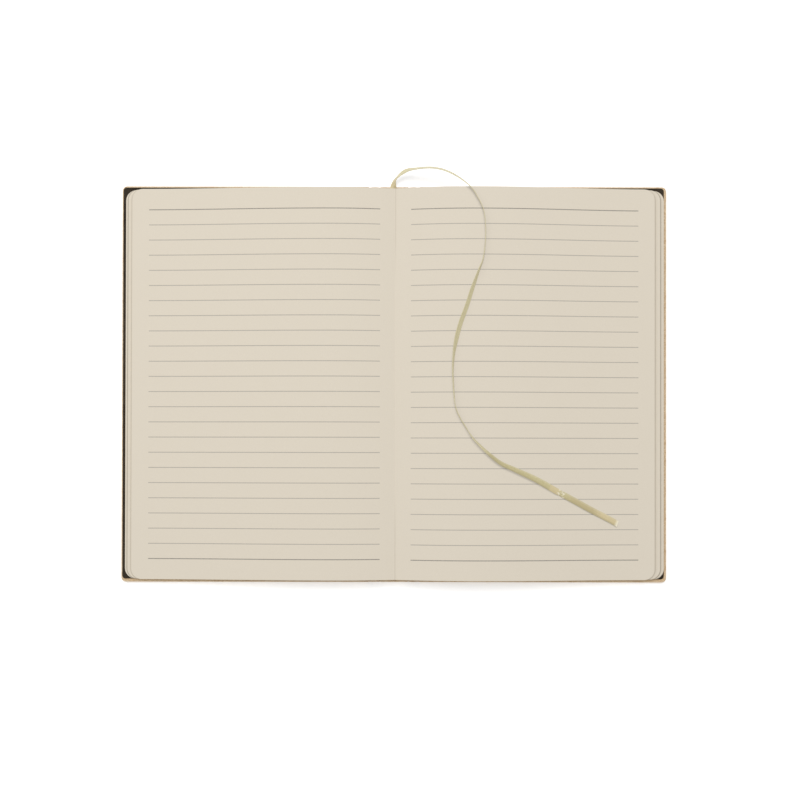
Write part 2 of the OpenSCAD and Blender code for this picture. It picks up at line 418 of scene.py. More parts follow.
def woven(tree, along, across, wander):
    """The ribs and the finer threads as one height, from 0 to 1."""
    ribs = ripple(tree, reckon(tree, "MULTIPLY_ADD", wander, 0.3 * MM, along), rib_mm)
    threads = ripple(tree, reckon(tree, "MULTIPLY_ADD", wander, 0.1 * MM, across), thread_mm)
    return reckon(tree, "MULTIPLY_ADD", ribs, 0.65, reckon(tree, "MULTIPLY", threads, 0.35))


def satin_body(tree, along, wander, sheen_and_tone, lain):
    """The colour along the ribbon: painted paler before it lies down, then darker, brown and peach."""
    # Painted light: paler colours before the ribbon lies down, for the light it misses standing up
    painted_pale = blended(tree, sheen_and_tone, satin_deep, satin_bright)
    lying = blended(tree, sheen_and_tone, lying_deep, lying_bright)
    brown = blended(tree, 0.6, lying, satin_brown)
    peach = blended(tree, 0.6, lying, satin_peach)
    browned = blended(tree, spread_along(tree, along, wander, brown_from), lying, brown)
    faded = blended(tree, spread_along(tree, along, wander, peach_from), browned, peach)
    return blended(tree, lain, painted_pale, faded)


def satin_sides(tree, body, across, lain):
    """The body with painted shade and light on its two sides where it lies down, and darker tight edges."""
    # Painted shade along the lower side and painted light along the upper side of the lying stretch
    painted_shade_side = reckon(tree, "MULTIPLY", spread(tree, across, 0.5 * MM, 1.5 * MM), lain)
    painted_light_side = reckon(tree, "MULTIPLY", spread(tree, across, -0.5 * MM, -1.5 * MM), lain)
    edge = spread(tree, reckon(tree, "ABSOLUTE", across), 1.2 * MM, 1.4 * MM)
    body = laid_over(tree, body, satin_shaded, painted_shade_side, 0.6)
    body = laid_over(tree, body, satin_fray_and_highlight, painted_light_side, 0.3)
    return laid_over(tree, body, satin_deep, edge, 0.25)


def satin_wear_and_highlights(tree, body, along, place):
    """The body with peach by the exit and crease, painted highlights on the crease, and a pale cut end."""
    by_exit = spread(tree, along, exit_to * MM, exit_from * MM)
    by_crease = window(tree, along, crease_at - before_crease, 2.4)
    body = laid_over(tree, body, satin_peach, reckon(tree, "MAXIMUM", by_exit, by_crease), 0.5)
    # Painted highlights on the crease's specks; the cut end is pale from fraying and a painted highlight
    specks = spread(tree, noise(tree, place, 1.1, detail=1.0), 0.5, 0.58)
    crease_highlights = reckon(tree, "MULTIPLY", window(tree, along, crease_at, 1.6), specks)
    fray_and_highlight = spread(tree, along, (ribbon_length - frayed_from) * MM, (ribbon_length - frayed_full) * MM)
    worn = reckon(tree, "MAXIMUM", reckon(tree, "MULTIPLY", crease_highlights, 0.8), fray_and_highlight)
    return blended(tree, worn, body, satin_fray_and_highlight)


def satin():
    """The ribbon's finish."""
    material, tree, shader = start_finish("ribbon_satin", 0.45, 0.4)
    along = measure(tree, "along")
    across = measure(tree, "across")
    place = add(tree, "CombineXYZ", X=along, Y=across).outputs["Vector"]
    wander = noise(tree, place, 1.5)
    weave = woven(tree, along, across, wander)
    # Painted sheen: the ribs' colour runs from deep to bright, and the noise adds random tone
    sheen_and_tone = reckon(tree, "MULTIPLY_ADD", wander, 0.7, reckon(tree, "MULTIPLY", weave, 0.45))
    lain = spread_along(tree, along, wander, lying_from)
    body = satin_body(tree, along, wander, sheen_and_tone, lain)
    body = satin_sides(tree, body, across, lain)
    plug(tree, shader.inputs["Base Color"], satin_wear_and_highlights(tree, body, along, place))
    shader.inputs["Sheen Weight"].default_value = 0.25
    shader.inputs["Sheen Roughness"].default_value = 0.35
    raise_surface(tree, shader, weave, 0.03)
    return material


ribbon.data.materials.append(satin())
print("satin: a rib every", rib_mm, "mm and a thread every", thread_mm, "mm")

# %% [markdown]
# ## Sizes from the frame
# Every later piece lies against something in the frame, so its sizes are read from the frame's own
# nodes and not typed again. Only a few can't be read there: how the open leaves curve between the
# spine and the fore edge. Those are the CAD model's driving sizes, but for three that look better
# here: the leaves meet higher in the gutter, the right ones fan out less and end a little shorter.

# %% Sizes
cover_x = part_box("back_covering")[1].x
cover_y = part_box("back_covering")[1].y
turned_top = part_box("back_covering")[1].z
board_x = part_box("back_board")[0].x
board_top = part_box("back_board")[1].z
covering_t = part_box("back_board")[0].z
spine_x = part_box("spine_board")[1].x
spine_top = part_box("spine_covering")[1].z
back_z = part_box("spine_lining")[1].z
paper_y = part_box("back_pastedown")[1].y
paper_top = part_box("back_pastedown")[1].z
page_half = (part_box("text_block")[1].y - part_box("text_block")[0].y) / 2
page_mid = (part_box("text_block")[1].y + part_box("text_block")[0].y) / 2
hinges = {joint["name"]: Vector(joint["pos_m"]) for joint in frame["joints"]}
hinge_x = hinges["back_hinge"].x
groove_z = hinges["back_hinge"].z
endpaper_t = 0.2 * MM
leaf_z = paper_top + endpaper_t
leaf_t = 0.075 * MM
page_r = 5.5 * MM
gutter_x = 0.4 * MM
gutter_rise = 6.7 * MM
gutter_z = back_z + gutter_rise
flat_w = 22 * MM
right_trim = 0.3 * MM
left_low_end = gutter_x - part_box("front_flyleaf")[0].x
right_low_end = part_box("back_flyleaf")[1].x - gutter_x - right_trim
left = SimpleNamespace(
    name="left",
    side=-1,
    leaves=43,
    stack=gutter_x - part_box("spine_lining")[0].x,
    crest=33 * MM,
    crest_z=12.4 * MM,
    hollow_z=5.9 * MM,
    low_end=left_low_end,
    fan=4.1 * MM,
)
right = SimpleNamespace(
    name="right",
    side=1,
    leaves=51,
    stack=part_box("spine_lining")[1].x - gutter_x,
    crest=42 * MM,
    crest_z=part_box("text_block")[1].z,
    hollow_z=6.6 * MM,
    low_end=right_low_end,
    fan=5.85 * MM,
)
for half in (left, right):
    half.flat_u = half.low_end - half.fan - flat_w
print("open cover", round(2 * cover_x / MM, 1), "x", round(2 * cover_y / MM, 1), "mm")
print("stacks", round(left.stack / MM, 1), "and", round(right.stack / MM, 1), "mm thick")

# %% [markdown]
# ## How a leaf curves
# A leaf of an open book rises from the spine, rounds over at the crest of the hump and glides down
# to lie flat at the fore edge. The lowest leaf stands up steeply, along a quarter of an ellipse,
# but the two top pages are pulled almost flat across the gutter, along a parabola. A share of 0 is
# the lowest leaf and 1 the top one, and every value between mixes the two, so no two leaves ever
# cross. All fall from the crest in half a wave. A bend modifier on flat sheets could imitate this,
# but it would press the lower leaves through one another.

# %% Leaf curve


def between(a, b, share):
    """The value that lies a share of the way from a to b."""
    return a + (b - a) * share


def climbed(value, low, high):
    """A soft step from 0 to 1 between low and high."""
    share = min(1.0, max(0.0, (value - low) / (high - low)))
    return share * share * (3 - 2 * share)


def leaf_height(half, share, lift, u):
    """Height of a leaf's upper face at a distance u from the gutter. Lift is its share of the hump."""
    start = half.stack * (1 - share)
    start_z = between(back_z, gutter_z, share**3)
    crest_z = between(half.hollow_z, half.crest_z, lift)
    rest_u = between(half.flat_u, half.low_end - half.fan, share)
    rest_z = leaf_z + half.stack * share
    if u <= half.crest:
        flatter = max(0.0, 1 - (1 - (u - start) / (half.crest - start)) ** 2)
        return start_z + (crest_z - start_z) * between(math.sqrt(flatter), flatter, share)
    fallen = min(1.0, (u - half.crest) / (rest_u - half.crest))
    return rest_z + (crest_z - rest_z) * (1 + math.cos(math.pi * fallen)) / 2


def leaf_stations(half, share, end, rise, fall, corner):
    """Distances from the gutter at which a leaf is worked out, closest where it bends most."""
    start = half.stack * (1 - share)
    straight_end = end - page_r
    up = [start + (half.crest - start) * (1 - math.cos(math.pi / 2 * i / rise)) for i in range(rise + 1)]
    down = [between(half.crest, straight_end, (i + 1) / fall) for i in range(fall)]
    rounding = [straight_end + page_r * math.sin(math.pi / 2 * (i + 1) / corner) for i in range(corner)]
    return up + down + rounding


def half_width(u, end, radius, full):
    """Half the sheet's height in the page plane, which its rounded fore corners narrow near the end."""
    past = max(0.0, u - (end - radius))
    return full - radius + math.sqrt(max(0.0, radius**2 - past**2))


for half in (left, right):
    top_end = half.low_end - half.fan
    heights = [leaf_height(half, 1, 1, u) / MM for u in (0, half.crest, top_end)]
    print(half.name, "top leaf: gutter, crest, fore edge at", [round(z, 1) for z in heights], "mm")

# %% [markdown]
# ## A sheet with two faces and an edge
# Paper is thin but it isn't nothing: seen from the side, the edge of each leaf draws a fine line.
# So a sheet here is a closed skin, an upper face made of a grid of points, a lower face a hair
# below it, and a rim that joins the two. A solidify modifier would do that as well, but built by
# hand the upper faces keep their order, and the ruled lines are picked out by it later.

# %% Sheet builder


def rim_of(rows, columns):
    """Numbers of the points round the edge of a grid, in order."""
    edge = [i * columns for i in range(rows)]
    edge += [(rows - 1) * columns + j for j in range(1, columns)]
    edge += [i * columns + columns - 1 for i in range(rows - 2, -1, -1)]
    return edge + [j for j in range(columns - 2, 0, -1)]


class Sheets:
    """Points, faces, and a tone and a shade for each point, for one mesh of thin sheets."""

    def __init__(self):
        """Starts empty."""
        self.points, self.faces, self.tones, self.shades = [], [], [], []

    def add(self, side, grid, offsets, tone=0.5, shade=None):
        """Grid holds rows of upper points, from the spine out and from tail to head. Offsets hold
        the way to the lower face for each row. Shade gives a point's darkness from 0 to 1."""
        first_point = len(self.points)
        rows, columns = len(grid), len(grid[0])
        lower = rows * columns
        upper_points = [p for row in grid for p in row]
        self.points += upper_points
        self.points += [p + offsets[i] for i, row in enumerate(grid) for p in row]
        self.tones += [tone] * (2 * lower)
        self.shades += [shade(p) if shade else 0.0 for p in upper_points] * 2
        new = []
        for i in range(rows - 1):
            for j in range(columns - 1):
                a = i * columns + j
                new.append((a, a + columns, a + columns + 1, a + 1))
        new += [tuple(lower + k for k in reversed(face)) for face in new]
        edge = rim_of(rows, columns)
        for a, b in zip(edge, edge[1:] + edge[:1]):
            new.append((lower + a, lower + b, b, a))
        if side < 0:
            new = [tuple(reversed(face)) for face in new]
        self.faces += [tuple(first_point + k for k in face) for face in new]


def leaf_grid(half, share, lift, stations, end, rows, thickness):
    """Upper points of a leaf and the way to its lower face. Rows are the y of its points."""
    line = [(u, leaf_height(half, share, lift, u)) for u in stations]
    grid, offsets = [], []
    last = len(line) - 1
    for i, (u, z) in enumerate(line):
        du = line[min(i + 1, last)][0] - line[max(i - 1, 0)][0]
        dz = line[min(i + 1, last)][1] - line[max(i - 1, 0)][1]
        narrowed = half_width(u, end, page_r, page_half) / page_half
        x = gutter_x + half.side * u
        grid.append([Vector((x, page_mid + (y - page_mid) * narrowed, z)) for y in rows])
        outward = Vector((half.side * dz, 0, -du)).normalized()
        offsets.append(outward * thickness)
    return grid, offsets


print("sheet builder ready")

# %% [markdown]
# ## The ruled page
# Each page carries 24 thin grey lines, 8 mm apart, that stop short of the gutter and of the fore
# edge. The first and the last are heavier, and the right page's stand a third of a millimetre lower.
# A printed line has no height, so it could be a pattern in the paper's finish, but a rule less than
# half a millimetre wide is easily lost when a finish is turned into a picture. Here the grid's own
# rows run along both edges of every line, and the faces between them take an ink of their own.
# The right page dips into the gutter, and a painted shade kept on its points darkens that crease.

# %% Rules
rule_count = 24
rule_pitch = 7.987 * MM
rule_w = 0.44 * MM
heavy_rule_w = 0.48 * MM
left.first_rule, left.rule_start, left.rule_end = 91.45 * MM, 7.8 * MM, 129.7 * MM
right.first_rule, right.rule_start, right.rule_end = 91.13 * MM, 8.4 * MM, 128.1 * MM


def rule_rows(half):
    """The y of each row of points, from the tail to the head: both edges of every rule."""
    found = [page_mid - page_half]
    for k in range(rule_count):
        y = half.first_rule - rule_pitch * (rule_count - 1 - k)
        width = heavy_rule_w if k in (0, rule_count - 1) else rule_w
        found += [y - width / 2, y + width / 2]
    return found + [page_mid + page_half]


right_rows = [round(y / MM, 1) for y in rule_rows(right)]
print("right page: rules from", right_rows[-2], "mm at the head to", right_rows[1], "mm at the tail")

# %% Ruled pages
# Shares of the baked picture's height: the upper face from here up, the lower face up to here, and
# the rim between these two
upper_from, lower_to, rim_from, rim_to = 0.04, 0.02, 0.025, 0.035
# The painted shade in the gutter crease: how dark, how far it fades from the gutter, and how far
# from the page's middle it starts and is full
crease_dark = 0.25
crease_near, crease_far = 0.3 * MM, 0.8 * MM
crease_start, crease_full = 55 * MM, 80 * MM


def lay_out(page, rows, columns):
    """Places for a baked picture: the upper face fills the square but for a strip at its foot, which
    holds the rim and the lower face, so that the rules stay sharp."""
    layout = page.data.uv_layers.new(name="OFBake")
    xs = [vertex.co.x for vertex in page.data.vertices]
    low_x, wide_x = min(xs), max(xs) - min(xs)
    low_y, wide_y = page_mid - page_half, 2 * page_half
    upper = (rows - 1) * (columns - 1)
    on_rim = {point: k for k, point in enumerate(rim_of(rows, columns))}
    for face in page.data.polygons:
        for loop in face.loop_indices:
            point = page.data.loops[loop].vertex_index
            place = page.data.vertices[point].co
            u, v = (place.x - low_x) / wide_x, (place.y - low_y) / wide_y
            if face.index < upper:
                layout.data[loop].uv = (u, upper_from + (1 - upper_from) * v)
            elif face.index < 2 * upper:
                layout.data[loop].uv = (u, lower_to * v)
            else:
                k = on_rim[point % (rows * columns)]
                k = len(on_rim) if k == 0 and face.index == len(page.data.polygons) - 1 else k
                layout.data[loop].uv = (k / len(on_rim), rim_from if point < rows * columns else rim_to)


def crease_shade(p):
    """The painted shade where the right page dips into the gutter, which shows towards head and tail."""
    dip = 1 - climbed(p.x - gutter_x, crease_near, crease_far)
    return crease_dark * dip * climbed(abs(p.y - page_mid), crease_start, crease_full)


def ruled_page(half):
    """The top page of one side, with its inked faces."""
    top_end = half.low_end - half.fan
    stations = leaf_stations(half, 1, top_end, rise=26, fall=34, corner=10)
    stations = sorted(stations + [half.rule_start, half.rule_end])
    grid, offsets = leaf_grid(half, 1, 1, stations, top_end, rule_rows(half), leaf_t)
    sheets = Sheets()
    sheets.add(half.side, grid, offsets, tone=0.6, shade=crease_shade if half is right else None)
    page = new_piece(half.name + "_page", sheets.points, sheets.faces)
    keep_values(page, "tone", sheets.tones)
    keep_values(page, "shade", sheets.shades)
    lay_out(page, len(grid), len(grid[0]))
    columns = len(grid[0]) - 1
    inked = 0
    for i, u in enumerate(stations[:-1]):
        if half.rule_start <= u < half.rule_end:
            for j in range(1, columns, 2):
                page.data.polygons[i * columns + j].material_index = 2 if j in (1, columns - 2) else 1
                inked += 1
    print(page.name, "has", len(page.data.polygons), "faces, of which", inked, "are inked")
    return page


pages = [ruled_page(half) for half in (left, right)]

# %% [markdown]
# ## The leaves under it
# Below each page lie some 43 or 51 more leaves. At the fore edge they have slid past one another in
# three groups with two clear steps, as the photo shows, and in the hump air gets between the folded
# sections, so the edges at head and tail show a few wider gaps among many fine ones. Each leaf is a
# sheet of its own on the same family of curves. A striped block would be lighter, but its
# silhouette would be a solid wall where the real one is feathered. A fine dark line of shade lies
# at the foot of each step, so the leaf that lies open there has closer rows of points, and a
# painted shade kept on them.

# %% Steps and gaps
leaves_in_section = 8
section_gap = 3.0
# Groups at the fore edge: up to this share of the stack, the leaves stop short of the lowest one by
# the next two shares of the fan, from the group's first leaf to its last
left.fore_steps = [(0.3, 0.0, 0.06), (0.65, 0.38, 0.44), (1.0, 0.95, 1.0)]
right.fore_steps = [(0.3, 0.0, 0.06), (0.65, 0.39, 0.45), (1.0, 0.95, 1.0)]
# The painted shade at the foot of the two steps: how dark, how wide, and where it has faded out
step_depths = (1.0, 0.6)
step_dark = 0.2 * MM
step_fade = 0.8 * MM


def lifts(count):
    """Each leaf's share of the hump, with more air between the folded sections."""
    gaps = [section_gap if k % leaves_in_section == 0 else 1.0 for k in range(1, count + 2)]
    reached = 0.0
    found = []
    for gap in gaps:
        reached += gap
        found.append(reached / sum(gaps))
    return found[:-1]


def held_back(half, share):
    """How far a leaf stops short of the lowest one, as a share of the fan."""
    low = 0.0
    for high, first, last in half.fore_steps:
        if share <= high:
            return between(first, last, (share - low) / (high - low))
        low = high
    return 1.0


def beyond(end, u, y):
    """How far a place lies outside the outline of a sheet with that end."""
    past_u = u - (end - page_r)
    past_y = abs(y - page_mid) - (page_half - page_r)
    if past_u > 0 and past_y > 0:
        return math.hypot(past_u, past_y) - page_r
    return max(past_u, past_y) - page_r


def step_shade(half, share):
    """The painted shade on a ledge, along the foot of the step above it, or None for other leaves."""
    next_share = share + 1 / (half.leaves + 1)
    for (high, _, _), (_, first, _), depth in zip(half.fore_steps, half.fore_steps[1:], step_depths):
        if share <= high < next_share:
            foot = half.low_end - half.fan * first

            def darkness(p):
                """How dark one point is."""
                away = beyond(foot, abs(p.x - gutter_x), p.y)
                return depth * (1 - climbed(away, step_dark, step_fade))

            return darkness
    return None


left_lifts = [round(lift, 3) for lift in lifts(left.leaves)]
print("left leaves are lifted by", left_lifts[0], "to", left_lifts[-1], "of the hump")

# %% Leaves
# How unevenly the leaves end at the fore edge, and at head and tail
uneven_end = 0.06
uneven_reach = 0.08
# Rows of points near head and tail on the leaves that lie open at a step
ledge_rows = 24
ledge_row_gap = 0.3 * MM


def stack_of_leaves(half):
    """All the leaves under one page, as one mesh."""
    chance = random.Random(11 + half.side)
    sheets = Sheets()
    for k, lift in enumerate(lifts(half.leaves)):
        share = (k + 1) / (half.leaves + 1)
        end = half.low_end - half.fan * held_back(half, share)
        end += chance.uniform(-uneven_end, uneven_end) * MM
        shade = step_shade(half, share)
        stations = leaf_stations(half, share, end, rise=12, fall=16, corner=22 if shade else 6)
        reach = page_half - chance.uniform(0, uneven_reach) * MM
        head_rows = [reach - ledge_row_gap * i for i in range(ledge_rows if shade else 1)]
        rows = [page_mid - y for y in head_rows] + [page_mid + y for y in reversed(head_rows)]
        grid, offsets = leaf_grid(half, share, lift, stations, end, rows, leaf_t)
        sheets.add(half.side, grid, offsets, tone=chance.uniform(0.2, 0.8), shade=shade)
    piece = new_piece(half.name + "_leaves", sheets.points, sheets.faces)
    keep_values(piece, "tone", sheets.tones)
    keep_values(piece, "shade", sheets.shades)
    print(piece.name, "has", half.leaves, "leaves and", len(piece.data.polygons), "faces")
    return piece


stacks = [stack_of_leaves(half) for half in (left, right)]

# %% [markdown]
# ## Paper and ink
# Writing paper is matt, warm ivory, and never quite even: fibres a few tenths of a millimetre long
# cloud it, and each leaf takes the light a little differently. One even colour would look like
# plastic, and a scanned picture of paper would repeat. Two sizes of noise do neither, and the tone
# kept on each leaf shifts them. The ink is the same paper with grey laid over it, thinner where the
# fibres stand up.

# %% Paper and ink finishes
ivory = light(218, 209, 193)
ivory_pale = light(226, 217, 201)
ivory_deep = light(206, 195, 177)
ivory_shaded = light(172, 162, 145)
ink_grey = light(172, 166, 156)
heavy_ink_grey = light(136, 131, 123)


def paper_colour(tree, place):
    """The paper's colour with its painted shade, and its fibres."""
    fibres = noise(tree, place, 0.35, detail=6)
    clouds = noise(tree, place, 9)
    pale = blended(tree, spread(tree, fibres, 0.3, 0.7), ivory_deep, ivory_pale)
    mixed = blended(tree, 0.3, ivory, pale)
    clouded = laid_over(tree, mixed, ivory_deep, clouds, 0.12)
    toned = laid_over(tree, clouded, ivory_pale, measure(tree, "tone"), 0.3)
    # Painted shade: the shade kept on the points darkens the paper in the gutter crease and at the steps
    return blended(tree, measure(tree, "shade"), toned, ivory_shaded), fibres


def paper():
    """The finish of the leaves."""
    material, tree, shader = start_finish("page_paper", 0.85, 0.2)
    place = add(tree, "TexCoord").outputs["Object"]
    colour, fibres = paper_colour(tree, place)
    plug(tree, shader.inputs["Base Color"], colour)
    raise_surface(tree, shader, fibres, 0.02, strength=0.6)
    return material


def ink(name, grey):
    """The paper's finish with grey laid over it."""
    material, tree, shader = start_finish(name, 0.8, 0.2)
    place = add(tree, "TexCoord").outputs["Object"]
    colour, fibres = paper_colour(tree, place)
    covered = reckon(tree, "MULTIPLY_ADD", spread(tree, fibres, 0.35, 0.7), -0.3, 1.0)
    plug(tree, shader.inputs["Base Color"], blended(tree, covered, colour, grey))
    raise_surface(tree, shader, fibres, 0.02, strength=0.6)
    return material


page_paper = paper()
rule_ink = ink("rule_ink", ink_grey)
heavy_ink = ink("heavy_rule_ink", heavy_ink_grey)


def dress(piece, body, slot_name, materials, *nodes):
    """Gives a piece its finishes, the body that it rides on and the nodes that it stands for."""
    for material in materials:
        piece.data.materials.append(material)
    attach(piece, body)
    if nodes:
        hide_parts(*nodes)


for piece in pages:
    dress(piece, "book_block", "page_paper", [page_paper, rule_ink, heavy_ink], "text_block")
for piece in stacks:
    dress(piece, "book_block", "page_paper", [page_paper], "text_block")
print("pages dressed with", page_paper.name, rule_ink.name, heavy_ink.name)

# %% [markdown]
# ## The endpapers
# A dark folded sheet joins the pages to each board. One half, the pastedown, is glued inside the
# cover: it crosses the hinge groove, climbs over the turned-in covering and sinks a little inside
# it, so a faint step frames the board. It was pasted a little nearer the head, which leaves a
# wider tan rim at the tail. The other half is free, and lies under the lowest leaf.
# A shrinkwrap modifier could press a flat grid onto the cover, but it would copy every corner of
# what lies below. Here the height comes from the cover's own sizes, with soft steps, as glued paper
# lies. The groove is where the cover swings, and the pasted half crosses it as one sheet, which
# doesn't tear.

# %% Endpapers
turn_in = 15 * MM
tail_y = cover_y - 1.75 * MM
left.pasted_x = cover_x - 0.65 * MM
right.pasted_x = cover_x - 1.45 * MM
paper_r = 1.7 * MM
endpaper_gap = 0.02 * MM
step_w = 0.5 * MM
fold_clearance = 0.01 * MM
# The bend starts this far before the hinge, and ends this far before the board
before_hinge = 2.5 * MM
bend_start = hinge_x - before_hinge


def pasted_height(x, y):
    """Height of the pasted paper's upper face, at a distance x from the spine's middle."""
    over_turn_in = max(
        climbed(abs(y), cover_y - turn_in - step_w, cover_y - turn_in),
        climbed(x, cover_x - turn_in - step_w, cover_x - turn_in),
    )
    on_board = between(board_top + endpaper_t, paper_top, over_turn_in)
    return between(back_z, on_board, climbed(x, hinge_x, board_x))


def pasted_paper(half):
    """The half of an endpaper that is glued inside the cover."""
    inner = half.stack + half.side * gutter_x
    stations = [between(inner, board_x, i / 12) for i in range(13)]
    stations += [between(board_x, cover_x - turn_in - step_w, i / 10) for i in range(1, 11)]
    stations += [cover_x - turn_in - step_w * (1 - i / 4) for i in range(1, 5)]
    straight_end = half.pasted_x - paper_r
    stations += [between(cover_x - turn_in, straight_end, i / 3) for i in range(1, 4)]
    stations += [straight_end + paper_r * math.sin(math.pi / 2 * i / 6) for i in range(1, 7)]
    dip_y = cover_y - turn_in
    dip_rows = [dip_y - step_w * i / 4 for i in range(5)]
    tail_rows = [between(tail_y, dip_y, i / 4) for i in range(4)] + dip_rows
    head_rows = [between(paper_y, dip_y, i / 4) for i in range(4)] + dip_rows
    rows = [-y for y in tail_rows] + [0.0] + head_rows[::-1]
    grid, offsets = [], []
    for x in stations:
        narrowed = half_width(x, half.pasted_x, paper_r, paper_y) / paper_y
        grid.append([Vector((half.side * x, y * narrowed, pasted_height(x, y * narrowed))) for y in rows])
        offsets.append(Vector((0, 0, endpaper_gap - endpaper_t)))
    sheets = Sheets()
    sheets.add(half.side, grid, offsets)
    return new_piece(half.cover + "_pasted_paper", sheets.points, sheets.faces)


def free_paper(half):
    """The half of an endpaper that lies free under the leaves."""
    stations = leaf_stations(half, 0, half.low_end, rise=16, fall=20, corner=8)
    stations[0] += fold_clearance
    rows = (page_mid - page_half, page_mid, page_mid + page_half)
    thickness = endpaper_t - endpaper_gap
    grid, offsets = leaf_grid(half, 0, 0, stations, half.low_end, rows, thickness)
    sheets = Sheets()
    sheets.add(half.side, grid, offsets)
    return new_piece(half.cover + "_free_paper", sheets.points, sheets.faces)


left.cover, right.cover = "front", "back"
pasted_papers = [pasted_paper(half) for half in (left, right)]
free_papers = [free_paper(half) for half in (left, right)]
print("endpapers:", [len(p.data.polygons) for p in pasted_papers + free_papers], "faces")

# %% [markdown]
# ## The covering
# One sheet of tan grained material wraps the boards and the spine strip. It rounds over every edge,
# is turned in 15 mm on the inside, and is pressed into a groove on both sides of the spine, where
# the cover hinges. The skin is made as a real binder's sheet would lie: a narrow strip follows the
# edge all the way round, from the turned-in flap, over the edge and under it, and a plain grid
# fills the outside between. A solidify modifier then gives it the sheet's thickness, inwards.
# It crosses the hinge as one sheet, like the endpaper.

# %% Covering skins
skin_t = 0.28 * MM
cover_r = 2.5 * MM
round_top = 0.6 * MM
round_under = 0.8 * MM
field_inset = 3 * MM
wall_w = 0.8 * MM
seam_x = bend_start


def groove(x):
    """How far the covering's outer face is pressed in at a distance x from the spine's middle."""
    away = abs(abs(x) - hinge_x) / (board_x - hinge_x)
    return groove_z * (1 + math.cos(math.pi * min(1.0, away))) / 2


def turned_height(x):
    """Height of the turned-in flap's upper face: on the spine strip, in the groove or on the board."""
    in_groove = groove(x) + 2 * covering_t
    on_spine = 1 - climbed(abs(x), spine_x, spine_x + wall_w)
    on_board = climbed(abs(x), board_x - wall_w, board_x)
    lifted = between(in_groove, turned_top, on_board)
    return between(lifted, max(in_groove, spine_top), on_spine)


def edge_profile(x):
    """Inset from the edge and height, from the flap's inner end round to the outer face."""
    low, high = groove(x), turned_height(x)
    over = min(round_top, (high - low) / 2)
    under = min(round_under, (high - low) / 2)
    turns = [math.pi / 2 * i / 5 for i in range(6)]
    flap = [(turn_in, high), (turn_in / 2, high), (field_inset, high)]
    top = [(over * (1 - math.sin(a)), high - over * (1 - math.cos(a))) for a in turns]
    bottom = [(under * (1 - math.cos(a)), low + under * (1 - math.sin(a))) for a in turns]
    return flap + top + bottom + [(field_inset, low)]


def edge_walk(columns, rows, with_fore_edge):
    """Places along the cover's edge, from tail to head, as (x, y, angle at a corner or None)."""
    tail = [(x, -cover_y, None) for x in columns]
    head = [(x, cover_y, None) for x in reversed(columns)]
    if not with_fore_edge:
        return [tail, head]
    arcs = {}
    for sign in (-1, 1):
        angles = [math.pi / 2 * i / 8 for i in range(1, 8)]
        arcs[sign] = [(cover_x - cover_r, sign * (cover_y - cover_r), sign * a) for a in angles]
    fore = [(cover_x, y, None) for y in rows]
    return [tail + arcs[-1][::-1] + fore + arcs[1] + head]


def inset_point(x, y, angle, inset, z):
    """A place on the edge moved inwards. Beyond the corner's radius, it stops at the mitre."""
    reach = cover_r - inset
    if angle is not None and reach > 0:
        return Vector((x + reach * math.cos(angle), y + reach * math.sin(angle), z))
    side_y = -1 if y < 0 else 1
    if angle is not None:
        return Vector((cover_x - inset, side_y * (cover_y - inset), z))
    return Vector((min(x, cover_x - inset), max(inset - cover_y, min(cover_y - inset, y)), z))


print("groove", round(groove(hinge_x) / MM, 2), "mm deep, profile of", len(edge_profile(board_x)), "points")

# %% Covering meshes
weld_reach = 0.005 * MM


def keep_places(piece):
    """Stores where each point lies at rest, so that a finish stays put when the piece bends."""
    layer = piece.data.attributes.new("rest_place", "FLOAT_VECTOR", "POINT")
    layer.data.foreach_set("vector", [x for vertex in piece.data.vertices for x in vertex.co])


def cover_skin(name, side, columns, with_fore_edge):
    """The covering over one stretch of columns, from tail to head, as one welded skin."""
    row_count = 16
    straight = cover_y - cover_r
    fore_rows = [between(-straight, straight, i / row_count) for i in range(row_count + 1)]
    points, faces = [], []
    for walk in edge_walk(columns, fore_rows, with_fore_edge):
        first = len(points)
        width = len(edge_profile(columns[0]))
        for x, y, angle in walk:
            for inset, z in edge_profile(min(x, cover_x - cover_r)):
                points.append(inset_point(x, y, angle, inset, z))
        for k in range(len(walk) - 1):
            for j in range(width - 1):
                a = first + k * width + j
                faces.append((a, a + 1, a + width + 1, a + width))
    field_end = cover_x - field_inset
    field_x = columns[:-1] + [field_end] if with_fore_edge else columns
    field_y = [field_inset - cover_y] + fore_rows[1:-1] + [cover_y - field_inset]
    first = len(points)
    points += [Vector((x, y, groove(x))) for x in field_x for y in field_y]
    height = len(field_y)
    for i in range(len(field_x) - 1):
        for j in range(height - 1):
            a = first + i * height + j
            faces.append((a, a + 1, a + height + 1, a + height))
    if side < 0:
        points = [Vector((-p.x, p.y, p.z)) for p in points]
        faces = [tuple(reversed(face)) for face in faces]
    piece = new_piece(name, points, faces, sharp_degrees=50)
    welded = bmesh.new()
    welded.from_mesh(piece.data)
    bmesh.ops.remove_doubles(welded, verts=welded.verts, dist=weld_reach)
    welded.to_mesh(piece.data)
    welded.free()
    thick = piece.modifiers.new("sheet_thickness", "SOLIDIFY")
    thick.thickness = skin_t
    thick.offset = -1
    keep_places(piece)
    print(name, "has", len(piece.data.polygons), "faces before it is thickened")
    return piece


